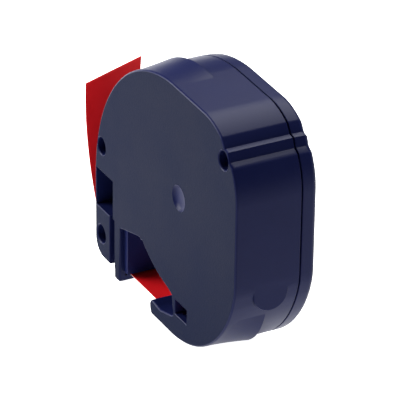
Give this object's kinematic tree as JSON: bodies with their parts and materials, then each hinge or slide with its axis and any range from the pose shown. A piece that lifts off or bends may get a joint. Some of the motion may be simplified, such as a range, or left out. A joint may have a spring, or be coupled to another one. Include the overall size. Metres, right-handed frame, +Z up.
{
  "type": "label tape cassette",
  "caption": "Two-part moulded cassette for a handheld label maker, with a roll of label tape, a print-head window and a free tape end.",
  "frame": {"origin": "middle of the whole object's box, at the level of the surface that the cassette stands on", "axes": "+Z up, +X from the free tape end towards the case's flat side, +Y from the machine side to the cover"},
  "size_m": [0.0686, 0.0166, 0.053],
  "materials": {
    "navy_plastic": "fine moulded texture on the faces, satin on the walls",
    "sticker": "plain printed film, no lettering",
    "core_plastic": "natural moulded plastic",
    "label_film": "satin red film",
    "liner_paper": "release paper",
    "clear_sheet": "thin translucent film",
    "felt": "pressed felt",
    "spring_steel": "rolled strip"
  },
  "bodies": {
    "case": {"case_base": "navy_plastic", "case_cover": "navy_plastic", "cover_label": "sticker", "front_slip_sheet": "clear_sheet", "rear_slip_sheet": "clear_sheet", "drag_washer": "felt", "brake_spring": "spring_steel", "brake_pad": "felt", "run_film": "label_film", "run_liner": "liner_paper"},
    "spool": {"spool_core": "core_plastic", "tape_roll": "label_film"},
    "leader": {"leader_film": "label_film", "leader_liner": "liner_paper"}
  },
  "joints": [
    {"name": "tape_pull", "type": "slide", "parent": "case", "child": "leader", "axis": [-0.565, 0, 0.8251], "range_m": [0, 0.02]},
    {"name": "spool_spin", "type": "hinge", "parent": "case", "child": "spool", "pos_m": [0.01072, 0, 0.03015], "axis": [0, 1, 0], "continuous": true}
  ],
  "couplings": [
    {"joint": "spool_spin", "follows": "tape_pull", "rad_per_m": 53.48}
  ]
}
